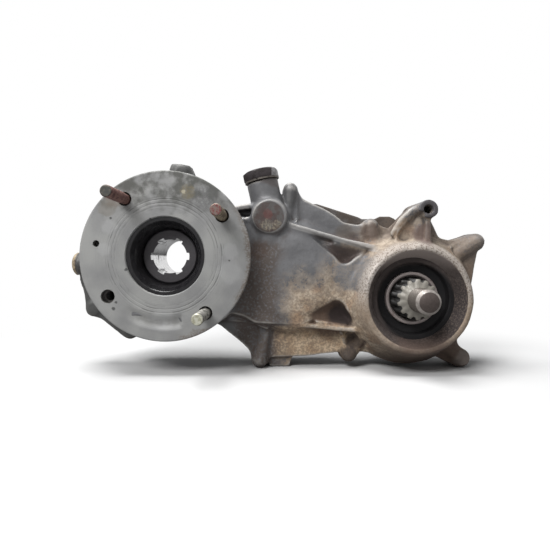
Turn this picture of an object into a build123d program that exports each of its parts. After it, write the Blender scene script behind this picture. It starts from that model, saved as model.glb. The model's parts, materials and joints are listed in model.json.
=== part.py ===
from build123d import *
import math
import os

os.makedirs("parts", exist_ok=True)

# Sizes in mm. X runs along the gear train, Y runs back from the input flange's face, Z is up.

# Gear train: input, idler and output gears in one line, spur teeth
module = 3.0
pressure_angle = 20.0
input_teeth, idler_teeth, output_teeth = 34, 42, 34
train_angle = -9.8
gear_front, gear_back = 45.0, 65.0
flank_gap = 0.15
flank_steps = 4
centre_distance = module * (input_teeth + idler_teeth) / 2

# Bearings: bore radius, outer radius, width, number of balls, ball radius
thin_bearing = (25.0, 40.0, 10.0, 14, 3.97)
idler_bearing = (15.0, 31.0, 16.0, 9, 4.76)
output_front_bearing = (20.0, 40.0, 18.0, 9, 6.0)
output_rear_bearing = (17.5, 36.0, 17.0, 9, 5.55)
race_front = 44.0
race_back = 66.0
seat = 0.08

# Case
split = 52.0
gasket_thickness = 0.8
rear_start = split + gasket_thickness
flange_front = 38.0
ear_front = 36.0
rear_flange_back = 62.0
bolt_seat = 63.0
cavity_front = 44.5
cavity_back = 66.2
rear_wall_back = 74.0
floor_level = -107.8
cavity_radii = (62.0, 69.0, 57.0)
flange_radii = (72.5, 74.0, 65.0)

# Input flange
flange_radius = 76.0
flange_thickness = 12.0
seal_bore = 35.0
stud_circle = 62.0
stud_angles = (35.3, 125.3, -54.7)
empty_hole_angle = 215.3
locating_hole_angle = 169.7
stud_radius = 5.0
stud_reach = 46.0
tapped_depth = 24.0

# Output snout
snout_mouth = 44.0
output_seal_bore = 37.5
output_seal_front, output_seal_back = 14.0, 25.2

# Screws and plugs
bolt_radius = 3.9
bolt_hole = 4.0
bolt_head_across = 13.0
dowel_radius = 4.0
filler_lean = 12.0
filler_depth = 36.0
filler_foot = (88.3, 59.3)
filler_pad = (92.8, 37.2)
filler_tube = 15.0
filler_top = 13.2
filler_thread = 12.0
level_depth, level_height = 40.0, -7.0
level_boss_end = -91.5
level_thread = 7.0
level_washer_thickness = 1.0
washer_thickness = 1.5
drain_thread = 8.0
drain_at = (136.0, -72.0)


def around(centre, radius, degrees):
    """The point at this distance and angle from a centre."""
    angle = math.radians(degrees)
    return (centre[0] + radius * math.cos(angle), centre[1] + radius * math.sin(angle))


A = (0.0, 0.0)
B = around(A, centre_distance, train_angle)
C = around(A, 2 * centre_distance, train_angle)

# Bolt ears round the split: centre, radius
ears = {
    "top": ((6.5, 82.0), 8.0),
    "left low": ((-78.0, -50.3), 8.0),
    "bottom left": ((-42.5, -71.6), 8.5),
    "left foot": ((83.2, -99.4), 8.4),
    "bottom": ((169.3, -94.5), 8.0),
    "right foot": ((277.8, -98.4), 9.4),
    "right": ((292.8, 14.0), 8.6),
    "long": ((236.6, 42.3), 9.0),
    "upper": ((190.9, 29.0), 8.0),
    "upper left": ((112.9, 64.2), 7.5),
    "behind flange high": ((-50.0, 62.0), 8.0),
    "behind flange side": ((-73.0, 24.0), 8.0),
}
dowels_at = ((-61.0, -58.5), (279.0, 8.0))
long_boss_front = 8.0
long_boss_hole = 4.25
long_boss_depth = 22.0


def facing(y):
    """A plane across the shafts: its x is X, its y is Z, and it looks forwards."""
    return Plane(origin=(0, y, 0), x_dir=(1, 0, 0), z_dir=(0, -1, 0))


def slab(shape, front, back, draft=0.0):
    """A sketch in X and Z made solid between two depths, narrower in front by its draft."""
    return extrude(facing(back) * shape, back - front, taper=draft)


def turned(points, at=(0.0, 0.0)):
    """A turned solid about a shaft line, from (radius, depth) points."""
    face = make_face(Polyline(*points, close=True))
    return Pos(at[0], 0, at[1]) * revolve(face, Axis.Y)


def disc(radius, front, back, at=(0.0, 0.0)):
    return turned([(0, front), (radius, front), (radius, back), (0, back)], at)


def ring(inner, outer, front, back, at=(0.0, 0.0)):
    return turned([(inner, front), (outer, front), (outer, back), (inner, back)], at)


def dot(centre, radius):
    return Pos(*centre) * Circle(radius)


def outline(*points):
    return make_face(Polyline(*points, close=True))


def link(a, ra, b, rb):
    """The outline of a belt round two circles."""
    dx, dz = b[0] - a[0], b[1] - a[1]
    base = math.degrees(math.atan2(dz, dx))
    lean = math.degrees(math.acos((ra - rb) / math.hypot(dx, dz)))
    a_top, a_end, a_low = around(a, ra, base + lean), around(a, -ra, base), around(a, ra, base - lean)
    b_top, b_end, b_low = around(b, rb, base + lean), around(b, rb, base), around(b, rb, base - lean)
    edges = [
        Line(a_top, b_top),
        ThreePointArc(b_top, b_end, b_low),
        Line(b_low, a_low),
        ThreePointArc(a_low, a_end, a_top),
    ]
    return make_face(edges)


def rib(points, thickness, front, back, draft=0.0):
    """A wall that follows a line of points, with round ends."""
    half = thickness / 2
    shape = link(points[0], half, points[1], half)
    for start, end in zip(points[1:], points[2:]):
        shape += link(start, half, end, half)
    return slab(shape, front, back, draft)


def hexagon(across, turn=0.0):
    return Rot(0, 0, turn) * RegularPolygon(across / math.sqrt(3), 6)


def gear_outline(teeth, phase):
    """Involute spur gear with a tooth centred at the phase, in degrees."""
    pitch_r = module * teeth / 2
    base_r = pitch_r * math.cos(math.radians(pressure_angle))
    tip_r = pitch_r + module
    root_r = pitch_r - 1.25 * module

    def involute(r):
        angle = math.acos(min(1.0, base_r / r))
        return math.tan(angle) - angle

    def half_tooth(r):
        return math.pi / (2 * teeth) - flank_gap / pitch_r + involute(pitch_r) - involute(r)

    low = max(base_r, root_r)
    radii = [low + (tip_r - low) * i / flank_steps for i in range(flank_steps + 1)]
    points = []
    for tooth in range(teeth):
        middle = phase + 360 * tooth / teeth
        flank = [(root_r - 0.01, half_tooth(low))] + [(r, half_tooth(r)) for r in radii]
        points += [around(A, r, middle - math.degrees(half)) for r, half in flank]
        points += [around(A, r, middle + math.degrees(half)) for r, half in reversed(flank)]
    return outline(*points)


def spline_outline(minor, major, width, count=6):
    """A straight-sided spline: a circle with keys out to the major radius."""
    keys = Sketch()
    for n in range(count):
        keys += Rot(0, 0, n * 360 / count) * Pos(major / 2, 0) * Rectangle(major, width)
    return Circle(minor) + (keys & Circle(major))


def save(name, shape):
    export_step(shape, f"parts/{name}.step")


def group(solids):
    return Compound(children=list(solids))


def bearing(name, size, front, at):
    """Outer race, inner race, balls and cage of a deep-groove ball bearing."""
    bore_r, outer_r, width, count, ball_r = size
    back = front + width
    middle = front + width / 2
    pitch_r = (bore_r + outer_r) / 2
    edge = 0.8
    groove = Pos(at[0], middle, at[1]) * Rot(90, 0, 0) * Torus(pitch_r, ball_r + 0.12)
    outer_profile = [
        (pitch_r + 0.5 * ball_r, front), (outer_r - edge, front), (outer_r, front + edge),
        (outer_r, back - edge), (outer_r - edge, back), (pitch_r + 0.5 * ball_r, back),
    ]
    inner_r = bore_r + seat
    inner_profile = [
        (pitch_r - 0.5 * ball_r, front), (inner_r + edge, front), (inner_r, front + edge),
        (inner_r, back - edge), (inner_r + edge, back), (pitch_r - 0.5 * ball_r, back),
    ]
    angles = [(n + 0.3) * 360 / count for n in range(count)]
    places = [around(at, pitch_r, angle) for angle in angles]
    cage = ring(pitch_r - 0.3 * ball_r, pitch_r + 0.3 * ball_r, middle - 0.3 * ball_r, back - 0.15, at)
    for angle in angles:
        pocket = Pos(pitch_r, 0, 0) * Rot(0, 90, 0) * Cylinder(ball_r + 0.15, ball_r)
        cage -= Pos(at[0], middle, at[1]) * Rot(0, -angle, 0) * pocket
    save(f"{name}_outer_race", turned(outer_profile, at) - groove)
    save(f"{name}_inner_race", turned(inner_profile, at) - groove)
    save(f"{name}_balls", group(Pos(x, middle, z) * Sphere(ball_r) for x, z in places))
    save(f"{name}_cage", cage)


def filler_frame():
    """A frame on the filler tube's axis, its z running up the tube."""
    x, z = filler_foot
    return Pos(x, filler_depth, z) * Rot(0, -filler_lean, 0)


def split_outline():
    """The outline of the bolted flange where the case halves meet."""
    shape = dot(A, flange_radii[0]) + dot(B, flange_radii[1]) + dot(C, flange_radii[2])
    shape += link(A, 54, B, 60) + link(B, 62, C, 59)
    shape += outline((-8, 66), (-4.1, 87.2), (-2.4, 90.6), (15.3, 88.8), (17.9, 82.2), (20, 66))
    shape += outline(
        (-60, 34), (-80, 20), (-91.4, 13), (-91.4, -22), (-87, -38), (-86, -52), (-78, -58.3),
        (-71, -60.5), (-49, -78), (-42, -80), (-34, -76), (-20, -60),
    )
    shape += outline(
        (30, -60), (45.6, -67.5), (66, -84.1), (73, -91), (75, -97.5), (84, -100), (92, -98),
        (130, -96.3), (162, -92.5), (176, -80), (175, -60), (80, -40),
    )
    shape += outline((238, -88), (252, -96), (272, -106), (278, -98), (275, -82), (268, -66))
    shape += outline((250, 20), (269, 15.5), (288, 21.2), (293, 14), (294.5, 5), (287.5, -32), (268, -20))
    shape += outline((205, 5), (209, 27), (220, 37), (231, 48), (244, 46), (257, 18.8), (262, 5))
    shape += outline((174, 28), (184, 33), (191, 29), (199, 30.6), (210, 26.5), (212, 5), (178, 5))
    shape += outline((100, 40), (105.5, 62), (120.4, 64), (124.3, 56.5), (134, 52), (120, 40))
    for name in ("behind flange high", "behind flange side"):
        centre, radius = ears[name]
        shape += link(centre, radius, (centre[0] * 0.6, centre[1] * 0.6), 20)
    for centre, radius in ears.values():
        shape += dot(centre, radius)
    return shape


def foot_outline():
    return outline((92, -86), (92, floor_level), (112, floor_level), (115.5, -96), (118, -84))


def gear_space():
    shape = Sketch()
    for centre, radius in zip((A, B, C), cavity_radii):
        shape += dot(centre, radius)
    return shape


def bolt_pattern_holes(front, back, radius):
    holes = [disc(radius, front, back, centre) for centre, _ in ears.values()]
    return group(holes)


def input_flange_and_neck():
    """The machined input flange and the neck that carries it."""
    return turned([
        (0, 0), (75.2, 0), (flange_radius, 0.8), (flange_radius, flange_thickness - 1.5),
        (74.5, flange_thickness), (71.5, flange_thickness + 1), (70, 16), (69.5, 24), (70, 34),
        (71, 40), (flange_radii[0], 46), (flange_radii[0], split), (0, split),
    ])


def output_snout():
    """The open drum round the output shaft."""
    return turned([
        (0, 0), (47.2, 0), (48.2, 0.8), (49.5, 14), (52, 21), (57, 28), (61, 34), (64, 41),
        (flange_radii[2], 46), (flange_radii[2], split), (0, split),
    ], C)


def middle_body():
    """The raised body between neck and snout, with its rim, valleys and ribs."""
    plateau_front = 23.0
    body = slab(outline(
        (40, 44), (100, 33.5), (112, 30.5), (150, 21), (187, 11.5), (204, 2), (204, -72),
        (175, -70.5), (121, -66.5), (93, -66), (40, -62),
    ), plateau_front, flange_front + 1, draft=9)
    body += turned([(0, 20.5), (28, 20.5), (36, 21.5), (44, 24), (50, 28), (56, 40), (0, 40)], B)
    # sloping valleys, one that ends at the upper rim and one that ends at the shelf below
    upper = slab(outline((158, 7), (177, 3), (170, -3)), 12, flange_front, draft=-30)
    below_rim = outline((130, 22), (144, 17.5), (166, 11), (192, 3), (192, -30), (130, -30))
    upper &= slab(below_rim, 12, flange_front)
    lower = slab(outline((149, -59), (162, -52), (167, -60)), 12, flange_front, draft=-28)
    lower &= slab(outline((120, -63.5), (184, -65.5), (184, -25), (120, -25)), 12, flange_front)
    return body - upper - lower


def webs_and_ribs():
    """Stiffening walls on the front of the case."""
    walls = rib([(83.2, -99.4), (87, -69)], 8, 31, 40, draft=5)
    walls += rib([(87, -68), (77, -61), (69, -55.5), (60, -54)], 3.6, 31, 40, draft=5)
    walls += rib([(169.3, -94.5), (163, -77), (160, -68)], 4.6, 31, 40, draft=5)
    walls += rib([(169.3, -94.5), (185, -80)], 5.5, 31, 40, draft=5)
    walls += rib([(55, 44), (66, 46.5), (80, 48)], 5, 26, 40)
    # the raised rim along the top of the body
    rim_line = [(110, 31), (124, 26.8), (144, 21), (166, 14.5), (187, 8.2), (200, 5)]
    walls += rib(rim_line, 3.4, 21.9, 32, draft=2)
    long_web = outline((209, 25), (213, 33), (222, 43), (233, 50.5), (240, 44), (236, 5), (207, 5))
    walls += slab(long_web, 17, 40, draft=8)
    walls += rib([(237, 36), (236, 0)], 5.5, 10.5, 40)
    walls += rib([(292.3, 13.8), (262, 0)], 15, 29, 40, draft=6)
    walls += rib([(277.5, -98), (256, -79)], 15.5, 31, 40, draft=6)
    walls += rib([(190.7, 28.5), (194, 15)], 15, 27.5, 40, draft=10)
    walls += rib([(112.9, 64), (113, 36)], 14.4, 28.5, 40, draft=4)
    walls += disc(2.7, 22, 40, (72.2, 34.7))
    return walls


def filler_boss():
    """The leaning filler tube on its round boss, with the cast pad that faces forwards."""
    boss = filler_frame() * Pos(0, 0, (filler_top - 16) / 2) * Cylinder(filler_tube, filler_top + 16)
    boss += turned([
        (0, 17.2), (12.4, 17.2), (13.2, 15.9), (14.2, 15.7), (16.2, 17.4), (17.4, 20.4), (17.8, 24),
        (17.8, 42), (0, 42),
    ], filler_pad)
    return boss + Pos(filler_pad[0] - 1.5, filler_depth - 1.5, 17) * Cone(12.5, 17, 42)


def along_x(start, end, radius):
    """A cylinder on the level plug's axis."""
    middle = Pos((start + end) / 2, level_depth, level_height)
    return middle * Rot(0, 90, 0) * Cylinder(radius, abs(end - start))


def level_hole():
    """The level plug's threaded hole and the oil passage behind it."""
    return along_x(level_boss_end - 1, -76, level_thread + seat) + along_x(-77, -60, 4.0)


def front_case():
    """Front half: input flange, neck, filler boss, output snout and half of the split flange."""
    case = slab(split_outline(), flange_front, split)
    case += input_flange_and_neck()
    case += output_snout()
    case += middle_body()
    case += filler_boss()
    case += along_x(level_boss_end, -60, 11.5)
    case += webs_and_ribs()
    for name, (centre, radius) in ears.items():
        front = long_boss_front if name == "long" else ear_front
        edge = 0.6 if name == "long" else 1.8
        case += turned([
            (0, front), (radius - edge, front), (radius, front + edge), (radius, split), (0, split),
        ], centre)
    case += slab(foot_outline(), 42, split)
    # nothing may cross the joint face
    case -= slab(Pos(110, 0) * Rectangle(500, 300), split, split + 40)

    # gear space, with the cored ring behind the input flange
    case -= slab(gear_space(), cavity_front, split)
    pocket = turned([(46.5, 15), (59, 15), (62, 20), (62, cavity_front), (46.5, cavity_front)])
    for angle in stud_angles + (empty_hole_angle,):
        pocket -= disc(9, 14, 29, around(A, stud_circle, angle))
    case -= pocket
    case -= ring(37.5, 45.5, 31, cavity_front, B)

    # input bore: seal seat, shoulder, bearing seat
    case -= turned([
        (0, -1), (35.8, -1), (seal_bore, 0.8), (seal_bore, 16), (33, 16), (33, race_front - 10 - seat),
        (40 + seat, race_front - 10 - seat), (40 + seat, split), (0, split),
    ])
    # idler bearing seat, blind in front
    case -= turned([
        (0, 26.5), (24, 26.5), (24, 28 - seat), (31 + seat, 28 - seat), (31 + seat, split), (0, split),
    ], B)
    # output bore: open mouth, seal seat, bearing seat
    case -= turned([
        (0, -1), (snout_mouth + 0.6, -1), (snout_mouth, 0.6), (38.2, output_seal_front - 0.5),
        (output_seal_bore, output_seal_front), (output_seal_bore, output_seal_back),
        (36, output_seal_back), (36, 26 - seat), (40 + seat, 26 - seat), (40 + seat, split), (0, split),
    ], C)

    # stud holes, the empty tapped hole and the small locating hole in the input flange
    for angle in stud_angles:
        at = around(A, stud_circle, angle)
        case -= disc(6.25, -1, 8, at) + disc(stud_radius + seat, 7, tapped_depth, at)
    at = around(A, stud_circle, empty_hole_angle)
    case -= disc(6.25, -1, 8, at) + disc(4.25, 7, tapped_depth, at)
    case -= disc(3.0, -1, 9, around(A, stud_circle, locating_hole_angle))
    # cast hollows in the flange's face
    hollow = link((-26, -58), 5.5, (9, -60), 5.5)
    hollow += link((58, 10), 4.5, (56, -28), 5.5)
    hollow += link((-52, 27), 4, (-47, 36), 4)
    case -= slab(hollow, -1, 0.9)

    # long boss, plug threads and holes round the split
    case -= disc(long_boss_hole, 0, long_boss_front + long_boss_depth, ears["long"][0])
    case -= bolt_pattern_holes(40, split, bolt_hole)
    for centre in dowels_at:
        case -= disc(dowel_radius + seat, 46, split, centre)
    case -= filler_frame() * Pos(0, 0, 4) * Cylinder(filler_thread + seat, 22)
    case -= filler_frame() * Pos(0, 0, -20) * Cylinder(9, 42)
    return case - level_hole()


def rear_outline():
    """The rear half's flange, which stands proud of the front half's along the top."""
    return split_outline() + outline(
        (125, 52), (140, 53), (182, 39.5), (185, 37.8), (198, 37.8), (203, 40.3), (213, 40.3),
        (218, 38), (219.5, 33), (219, 5), (140, 10),
    )


def housings():
    """The bearing housings and stiffening ribs on the back."""
    shape = turned([(0, 66), (50, 66), (47.5, 76), (46.5, 87), (45.5, 88), (0, 88)], A)
    shape += turned([(0, 66), (41, 66), (38, 76), (37, 86.5), (35.5, 88), (0, 88)], B)
    shape += turned([(0, 66), (46, 66), (43, 76), (42, 87), (40.5, 88.5), (0, 88.5)], C)
    for centre, radius, reach, angles in (
        (A, 44, 62, (95, 140, 185, 230, 275, train_angle)),
        (B, 36, 67, (60, 120, 215, 255, train_angle, train_angle + 180)),
        (C, 40, 58, (-100, -50, 0, 50, 100, train_angle + 180)),
    ):
        for angle in angles:
            ends = [around(centre, radius, angle), around(centre, reach, angle)]
            shape += rib(ends, 5, rear_wall_back - 2, 81, draft=-3)
    return shape


def rear_case():
    """Rear half: bearing housings, foot and half of the split flange."""
    case = slab(rear_outline(), rear_start, rear_flange_back)
    body = dot(A, 65) + dot(B, 71) + dot(C, 61) + link(A, 46, B, 46) + link(B, 48, C, 47)
    case += slab(body, rear_flange_back - 1, rear_wall_back, draft=-10)
    case += housings()
    case += slab(foot_outline(), rear_start, 80)
    case += slab(outline((96, -92), (96, -70), (112, -70), (112, -92)), rear_start, 76)
    case += disc(13, 66, 78, drain_at)
    for centre, radius in ears.values():
        case += disc(radius, rear_start, bolt_seat, centre)

    case -= slab(gear_space(), rear_start, cavity_back)
    # through bore with bearing seat and seal seat, then the two blind bearing seats
    case -= turned([
        (0, 60), (40 + seat, 60), (40 + seat, race_back + 10 + seat), (37, race_back + 10 + seat),
        (37, 78), (seal_bore, 78), (seal_bore, 87.2), (35.8, 88), (35.8, 89), (0, 89),
    ], A)
    case -= turned([
        (0, 60), (31 + seat, 60), (31 + seat, 82 + seat), (24, 82 + seat), (24, 84), (0, 84),
    ], B)
    case -= turned([
        (0, 60), (36 + seat, 60), (36 + seat, 83 + seat), (28, 83 + seat), (28, 84.5), (0, 84.5),
    ], C)
    case -= bolt_pattern_holes(rear_start, bolt_seat, bolt_hole + 0.4)
    for centre in dowels_at:
        case -= disc(dowel_radius + seat, rear_start, 58.5, centre)
    case -= disc(drain_thread + seat, 60, 79, drain_at)
    return case - level_hole()


def case_gasket():
    gasket = slab(split_outline() - gear_space(), split, rear_start)
    gasket -= bolt_pattern_holes(split, rear_start, bolt_hole + 0.3)
    for centre in dowels_at:
        gasket -= disc(dowel_radius + 0.3, split, rear_start, centre)
    return gasket - level_hole()


def lathe(points):
    """A turned solid about z, from (radius, height) points."""
    return revolve(Plane.XZ * outline(*points), Axis.Z)


def hex_screw(across, head, thread_r, length, turn=0.0):
    """A hexagon-headed screw standing on z = 0, its thread below."""
    corner = across / math.sqrt(3)
    cone = lathe([(0, 0), (corner + 1, 0), (corner + 1, head - 2.5), (across / 2 - 1, head), (0, head)])
    top = extrude(hexagon(across, turn), head) & cone
    thread = [(0, -length), (thread_r - 1, -length), (thread_r, 1 - length), (thread_r, 0.5), (0, 0.5)]
    return top + lathe(thread)


def washer(inner, outer, thickness):
    return lathe([(inner, 0), (outer, 0), (outer, thickness), (inner, thickness)])


def input_studs():
    profile = [
        (0, -stud_reach), (4.2, -stud_reach), (stud_radius, 0.8 - stud_reach), (stud_radius, -7),
        (4.5, -6.3), (4.5, 8), (stud_radius, 8.6), (stud_radius, 23), (4.2, 23.8), (0, 23.8),
    ]
    return group(turned(profile, around(A, stud_circle, angle)) for angle in stud_angles)


def input_front_seal():
    """Rubber seal with a long lip that runs back to the hub."""
    outer = seal_bore - seat
    return turned([
        (outer, 2), (outer, 14), (32.6, 14), (32.6, 6.5), (30, 8.5), (27.6, 19.5), (27.4, 26),
        (25.15, 26), (25.15, 23.5), (26.2, 19), (28.6, 6.5), (31.4, 2.6), (32, 2),
    ])


def input_rear_seal():
    outer = seal_bore - seat
    return turned([
        (outer, 78.1), (33, 78.1), (33, 83.8), (28.5, 83.8), (26.6, 80), (25.15, 81.2),
        (25.15, 82.2), (26.2, 86), (outer, 86),
    ])


def output_seal():
    outer = output_seal_bore - seat
    return turned([
        (outer, 14.2), (outer, 25), (35.4, 25), (35.4, 22), (30, 23.6), (27, 25.2), (24.52, 24.2),
        (24.52, 22.8), (27, 22.2), (31.6, 20.4), (32.8, 18), (33, 15), (34, 14.2),
    ], C)


def gear_recesses(inner, outer, at):
    """Both faces of a gear are turned back between its rim and its hub."""
    front_recess = ring(inner, outer, gear_front - 2, gear_front + 4, at)
    return front_recess + ring(inner, outer, gear_back - 4, gear_back + 2, at)


def input_gear():
    """Splined input hub and its gear in one piece."""
    hub = turned([
        (0, 21), (24, 21), (25, 22), (25, race_front + seat), (28.5, race_front + seat),
        (28.5, race_back - seat), (25, race_back - seat), (25, 83), (24, 84), (0, 84),
    ])
    gear = hub + slab(gear_outline(input_teeth, train_angle), gear_front, gear_back)
    gear -= gear_recesses(31, 43, A)
    gear -= slab(spline_outline(15.75, 18, 6.6), 20, 50)
    gear -= disc(17.6, 49, 85)
    return gear


def idler_gear():
    """Idler gear with its journals in one piece."""
    shaft = turned([
        (0, 28.6), (13.8, 28.6), (15, 29.8), (15, race_front + seat), (19, race_front + seat),
        (19, race_back - seat), (15, race_back - seat), (15, 80.8), (13.8, 82), (0, 82),
    ], B)
    teeth = gear_outline(idler_teeth, train_angle + 180 / idler_teeth)
    gear = Pos(B[0], 0, B[1]) * slab(teeth, gear_front, gear_back)
    return shaft + gear - gear_recesses(25, 53, B)


def output_gear():
    """Output gear, sliding on the shaft's keys."""
    gear = slab(gear_outline(output_teeth, train_angle + 180), gear_front, gear_back)
    gear += ring(20, 30, race_front + seat, race_back - seat)
    gear -= gear_recesses(32, 43, A)
    gear -= slab(spline_outline(22 + seat, 24 + seat, 6 + 2 * seat), gear_front - 2, gear_back + 2)
    return Pos(C[0], 0, C[1]) * gear


def front_spline_outline(count, root, tip):
    """Short tapered teeth on the nose of the output shaft."""
    points = []
    for n in range(count):
        middle = 90 + n * 360 / count
        for radius, part in ((root, -0.31), (tip, -0.17), (tip, 0.17), (root, 0.31)):
            points.append(around(A, radius, middle + part * 360 / count))
    return outline(*points)


def output_shaft():
    """Threaded and splined output shaft."""
    shaft = turned([
        (0, -28), (9.8, -28), (11, -26.8), (11, -3), (9.9, -2), (9.9, 0.5), (15, 0.5), (15, 22),
        (20, 22), (20, race_front + seat), (22, race_front + seat), (22, race_back - seat),
        (17.5, race_back - seat), (17.5, 81.5), (16.3, 82.7), (0, 82.7),
    ])
    shaft += slab(front_spline_outline(14, 15.7, 18.3), 0.5, 24)
    shaft += slab(spline_outline(21, 24, 6), race_front + seat, race_back - seat)
    return Pos(C[0], 0, C[1]) * shaft


def output_sleeve():
    """Seal sleeve in front of the output bearing."""
    return turned([(21.6, 18), (23.8, 18), (24.4, 18.6), (24.4, 25.9), (20 + seat, 25.9), (20 + seat, 21)], C)


bolt_place = Rot(-90, 0, 0)
filler_place = filler_frame() * Pos(0, 0, filler_top)
level_place = Pos(level_boss_end, level_depth, level_height) * Rot(0, -90, 0)
drain_place = Pos(drain_at[0], 78, drain_at[1]) * bolt_place
bolt = hex_screw(bolt_head_across, 5.3, bolt_radius, bolt_seat - 41)

save("front_case", front_case())
save("rear_case", rear_case())
save("case_gasket", case_gasket())
save("case_bolts", group(Pos(x, bolt_seat, z) * bolt_place * bolt for (x, z), _ in ears.values()))
save("dowel_pins", group(disc(dowel_radius, 46.5, 58, centre) for centre in dowels_at))
save("input_studs", input_studs())
save("filler_washer", filler_place * washer(12.3, 16.5, washer_thickness))
save("filler_plug", filler_place * Pos(0, 0, washer_thickness) * hex_screw(30, 9, filler_thread, 19, 13))
save("level_washer", level_place * washer(7.3, 10.6, level_washer_thickness))
save("level_plug", level_place * Pos(0, 0, level_washer_thickness) * hex_screw(19, 3.6, level_thread, 13, 5))
save("drain_washer", drain_place * washer(8.3, 12, washer_thickness))
save("drain_plug", drain_place * Pos(0, 0, washer_thickness) * hex_screw(19, 7, drain_thread, 12, 20))
save("input_front_seal", input_front_seal())
save("input_rear_seal", input_rear_seal())
save("output_seal", output_seal())
save("input_gear", input_gear())
save("idler_gear", idler_gear())
save("output_gear", output_gear())
save("output_shaft", output_shaft())
save("output_sleeve", output_sleeve())
bearing("input_front", thin_bearing, race_front - 10, A)
bearing("input_rear", thin_bearing, race_back, A)
bearing("idler_front", idler_bearing, race_front - 16, B)
bearing("idler_rear", idler_bearing, race_back, B)
bearing("output_front", output_front_bearing, race_front - 18, C)
bearing("output_rear", output_rear_bearing, race_back, C)
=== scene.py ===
import json
import math

import bmesh
import bpy
import numpy as np
from mathutils import Matrix, Vector, noise


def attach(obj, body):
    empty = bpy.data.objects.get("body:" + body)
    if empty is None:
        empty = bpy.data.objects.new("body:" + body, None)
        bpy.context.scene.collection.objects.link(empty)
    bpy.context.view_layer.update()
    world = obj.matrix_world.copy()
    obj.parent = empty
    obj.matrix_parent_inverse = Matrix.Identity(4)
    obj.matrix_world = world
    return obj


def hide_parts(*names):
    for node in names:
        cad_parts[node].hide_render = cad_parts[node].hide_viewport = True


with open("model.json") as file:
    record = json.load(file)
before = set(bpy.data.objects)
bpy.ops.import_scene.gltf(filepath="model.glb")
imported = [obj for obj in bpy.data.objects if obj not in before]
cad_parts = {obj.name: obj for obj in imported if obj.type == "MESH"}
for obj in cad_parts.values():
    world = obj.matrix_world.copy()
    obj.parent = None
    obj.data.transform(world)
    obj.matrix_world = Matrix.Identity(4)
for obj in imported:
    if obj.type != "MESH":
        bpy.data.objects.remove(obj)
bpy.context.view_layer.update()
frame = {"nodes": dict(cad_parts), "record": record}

MM = 0.001


def polar(radius, angle, centre=(0.0, 0.0)):
    """A point in X and Z, at a radius in mm and an angle in radians about a centre."""
    return (centre[0] + radius * math.cos(angle), centre[1] + radius * math.sin(angle))


# Centres in X and Z, in mm, as in the CAD
SHAFT_SPACING = 114
TRAIN_ANGLE = math.radians(-9.8)
INPUT = (0.0, 0.0)
IDLER = polar(SHAFT_SPACING, TRAIN_ANGLE)
OUTPUT = polar(2 * SHAFT_SPACING, TRAIN_ANGLE)
STUD_CIRCLE = 62
STUDS = [polar(STUD_CIRCLE, math.radians(degrees)) for degrees in (35.3, 125.3, -54.7)]
EMPTY_HOLE = polar(STUD_CIRCLE, math.radians(215.3))
LOCATING_HOLE = polar(STUD_CIRCLE, math.radians(169.7))
LONG_BOSS = (236.6, 42.3)
EARS = [
    (6.5, 82.0), (-78.0, -50.3), (-42.5, -71.6), (83.2, -99.4), (169.3, -94.5), (277.8, -98.4),
    (292.8, 14.0), LONG_BOSS, (190.9, 29.0), (112.9, 64.2), (-50.0, 62.0), (-73.0, 24.0),
]
DRAIN_HOLE = (136, -72)
FILLER_PAD = (91.8, 36.6)
FILLER_TUBE = (88.3, 59.3)
FILLER_LEAN = math.radians(12)

# Depths along Y in mm: the split of the case, and the front ends of the studs and the output shaft
SPLIT = 52
STUD_END = -46.0
SHAFT_END = -28.0

# The rim of the upper wall in X and Z, and the lip under the neck in X, Y and Z
RIM = [(109, 31), (124, 26.8), (144, 21), (166, 14.5), (186, 8.3), (199, 6)]
LIP = [(90, 31, -68), (83, 29.5, -64.5), (77, 29, -60.5), (69, 29, -55.5), (58, 29, -53)]


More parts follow.
